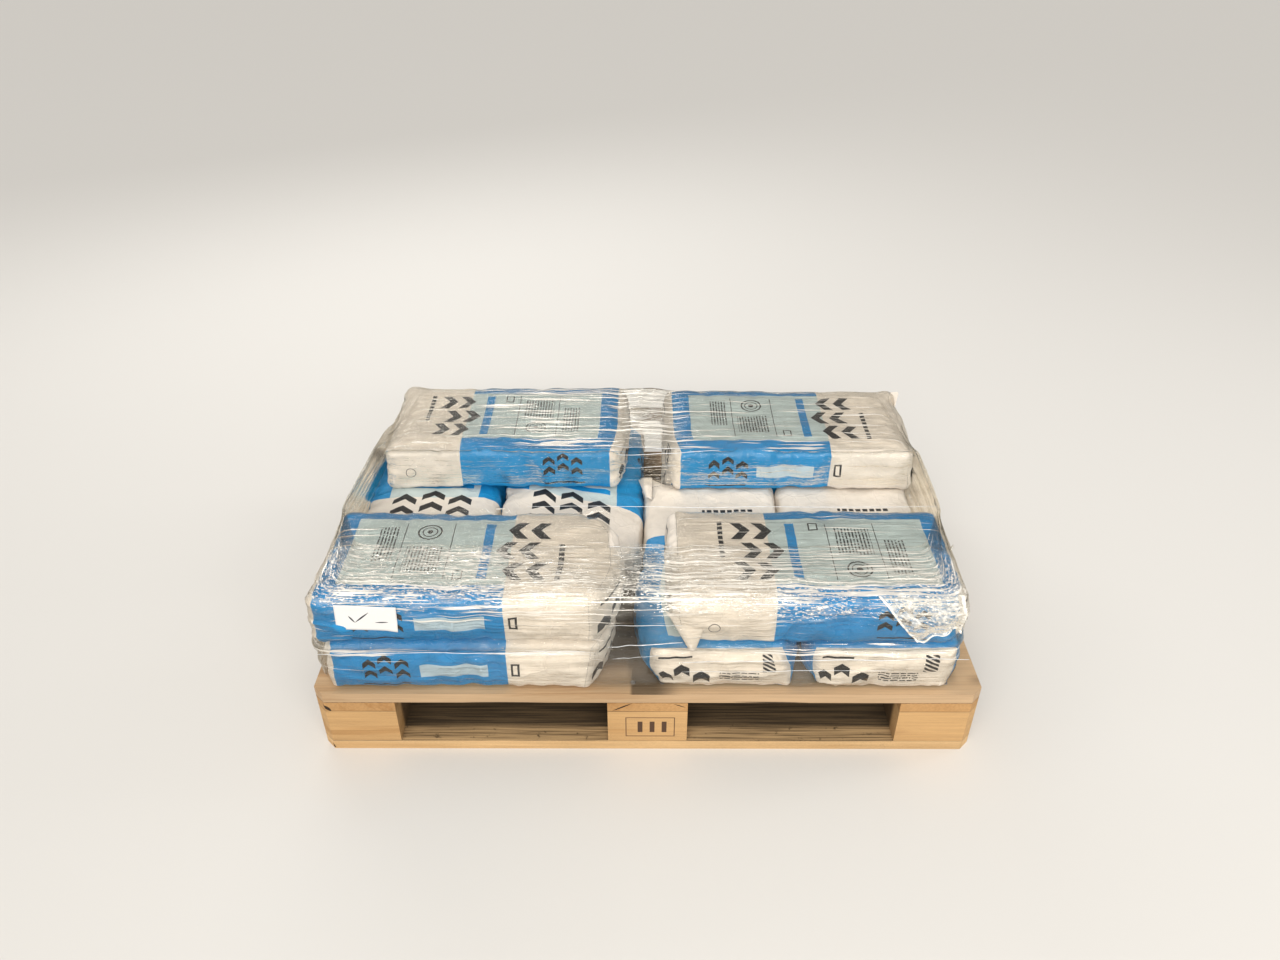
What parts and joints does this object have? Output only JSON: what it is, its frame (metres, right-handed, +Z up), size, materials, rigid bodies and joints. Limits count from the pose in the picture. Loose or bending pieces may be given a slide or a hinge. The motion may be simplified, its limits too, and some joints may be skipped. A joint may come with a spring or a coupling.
{
  "type": "pallet of sacks",
  "caption": "Flat four-way wooden pallet loaded with filled paper sacks in two layers, wound together in clear stretch film.",
  "frame": {"origin": "middle of the pallet's footprint, on the floor", "axes": "+X along the pallet's long side, to the right as the picture shows it; -Y is the front that the picture shows; +Z up"},
  "size_m": [1.2, 0.8, 0.3518],
  "materials": {
    "pine_board": "sawn, unplaned, new pine",
    "block_wood": "sawn pine blocks, side and end grain",
    "sack_paper": "smooth printed sack paper, white with blue sides, softly creased",
    "stretch_film": "clear, glossy, stretched and wrinkled polyethylene",
    "label_paper": "plain white office paper",
    "nail_steel": "dull nail heads"
  },
  "bodies": {
    "root": {"bottom_board_front": "pine_board", "bottom_board_middle": "pine_board", "bottom_board_rear": "pine_board", "block_front_left": "block_wood", "block_front_centre": "block_wood", "block_front_right": "block_wood", "block_middle_left": "block_wood", "block_middle_centre": "block_wood", "block_middle_right": "block_wood", "block_rear_left": "block_wood", "block_rear_centre": "block_wood", "block_rear_right": "block_wood", "cross_board_left": "pine_board", "cross_board_centre": "pine_board", "cross_board_right": "pine_board", "deck_board_1": "pine_board", "deck_board_2": "pine_board", "deck_board_3": "pine_board", "deck_board_4": "pine_board", "deck_board_5": "pine_board", "sack_low_front_left": "sack_paper", "sack_low_front_right_inner": "sack_paper", "sack_low_front_right_outer": "sack_paper", "sack_low_rear_left_outer": "sack_paper", "sack_low_rear_left_inner": "sack_paper", "sack_low_rear_right": "sack_paper", "sack_top_front_left": "sack_paper", "sack_top_front_right": "sack_paper", "sack_top_rear_left": "sack_paper", "sack_top_rear_right": "sack_paper", "stretch_film": "stretch_film", "paper_label": "label_paper"}
  },
  "joints": []
}
